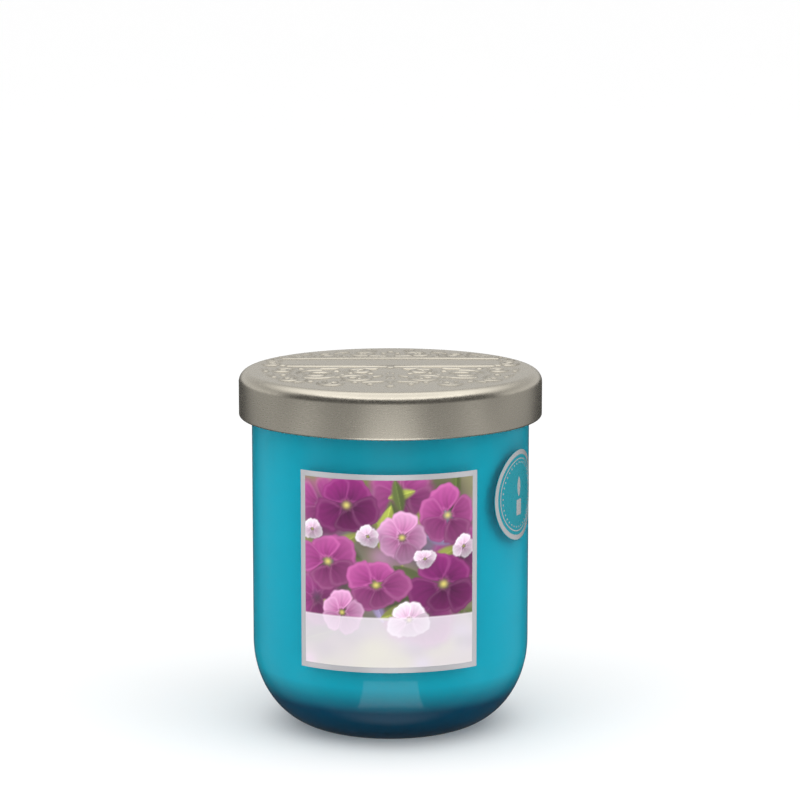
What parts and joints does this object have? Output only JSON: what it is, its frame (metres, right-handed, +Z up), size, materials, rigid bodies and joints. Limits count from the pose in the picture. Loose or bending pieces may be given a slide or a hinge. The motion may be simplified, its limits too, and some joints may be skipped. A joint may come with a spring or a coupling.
{
  "type": "scented jar candle",
  "caption": "Round-bottomed glass jar filled with coloured wax around a wick, closed by a pressed metal lid, with a printed front label and a round seal on the wall.",
  "frame": {"origin": "centre of the jar's footprint, on the surface that it stands on", "axes": "+Z up along the jar's axis; the front label faces -Y and the round seal is towards +X"},
  "size_m": [0.07, 0.07, 0.0831],
  "materials": {
    "jar_glass": "clear, polished, thick base",
    "teal_wax": "satin soy wax, evenly dyed teal",
    "wick_cotton": "braided and waxed",
    "tin_plate": "bright tin plate",
    "pad_foam": "matt adhesive foam",
    "lid_nickel": "satin champagne nickel plate, finely brushed",
    "insert_plastic": "fine matt moulding",
    "seal_silicone": "translucent silicone",
    "label_paper": "semi-gloss print with silver foil border",
    "sticker_film": "clear film with silver print"
  },
  "bodies": {
    "root": {"jar": "jar_glass", "wax": "teal_wax", "wick": "wick_cotton", "wick_sustainer": "tin_plate", "wick_glue_pad": "pad_foam", "lid_cap": "lid_nickel", "lid_insert": "insert_plastic", "lid_seal_ring": "seal_silicone", "front_label": "label_paper", "seal_sticker": "sticker_film"}
  },
  "joints": []
}
